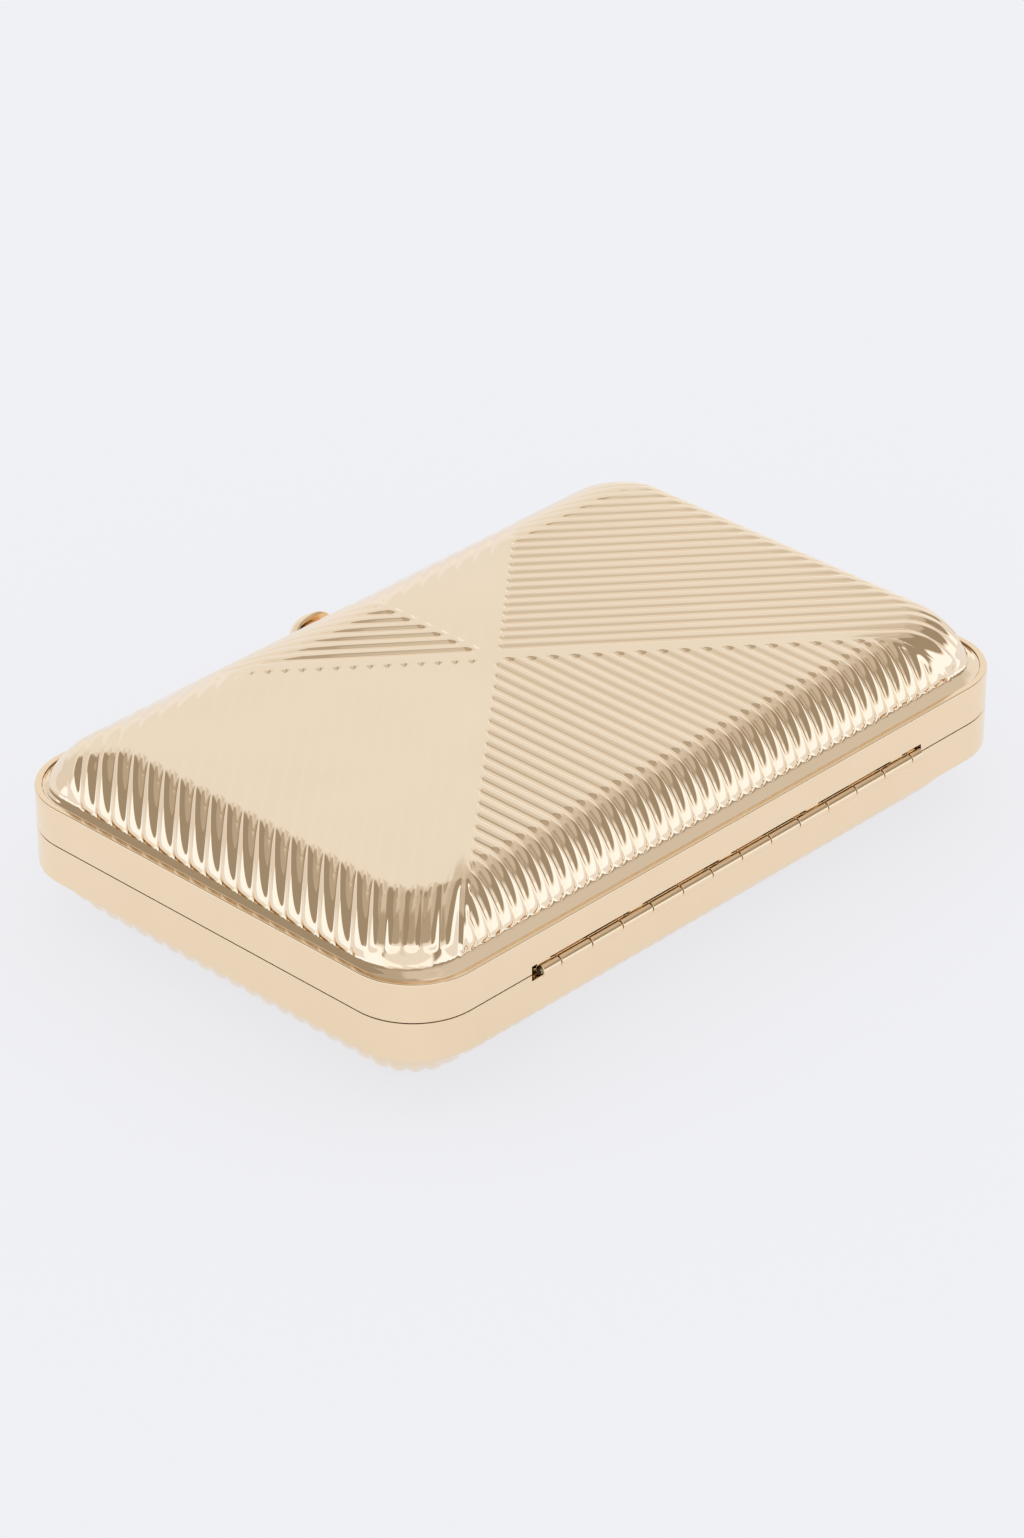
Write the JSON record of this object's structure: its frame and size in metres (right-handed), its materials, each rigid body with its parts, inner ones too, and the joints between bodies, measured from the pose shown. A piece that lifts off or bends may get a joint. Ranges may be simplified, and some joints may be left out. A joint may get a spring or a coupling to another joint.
{
  "type": "metal box clutch",
  "caption": "Hard-shell metal box clutch: two ribbed pillow shells in frame bands, joined by a knuckle hinge and closed by a domed push clasp.",
  "frame": {"origin": "on the table, under the middle of the case: the crests of the back shell's ribs", "axes": "+X along the long side, +Y towards the clasp button, +Z from the back shell up to the front shell"},
  "size_m": [0.18, 0.1268, 0.0424],
  "materials": {
    "frame_metal": "pale champagne gold plate, polished with a soft satin haze",
    "shell_metal": "pale champagne gold plate, bright polish on stamped ribs",
    "steel": "brushed",
    "board": "matt pressed board",
    "lining": "fine satin lining"
  },
  "bodies": {
    "back_half": {"back_frame": "frame_metal", "back_shell": "shell_metal", "back_hinge_leaf": "frame_metal", "hinge_pin": "steel", "back_liner_board": "board", "back_lining": "lining", "back_rim": "frame_metal", "latch_keeper": "steel"},
    "lid": {"front_frame": "frame_metal", "front_shell": "shell_metal", "front_hinge_leaf": "frame_metal", "front_liner_board": "board", "front_lining": "lining", "front_rim": "frame_metal", "latch_housing": "steel", "clasp_collar": "frame_metal", "clasp_spring": "steel"},
    "clasp": {"clasp_button": "frame_metal", "latch_hook": "steel", "hook_clip": "steel"}
  },
  "joints": [
    {"name": "lid_hinge", "type": "hinge", "parent": "back_half", "child": "lid", "pos_m": [0, -0.0591, 0.0212], "axis": [1, 0, 0], "range_deg": [0, 105]},
    {"name": "clasp_press", "type": "slide", "parent": "lid", "child": "clasp", "axis": [0, -1, 0], "range_m": [0, 0.0018], "stiffness_N_per_m": 1200, "springref_m": -0.001, "deforming": ["clasp_spring"]}
  ]
}
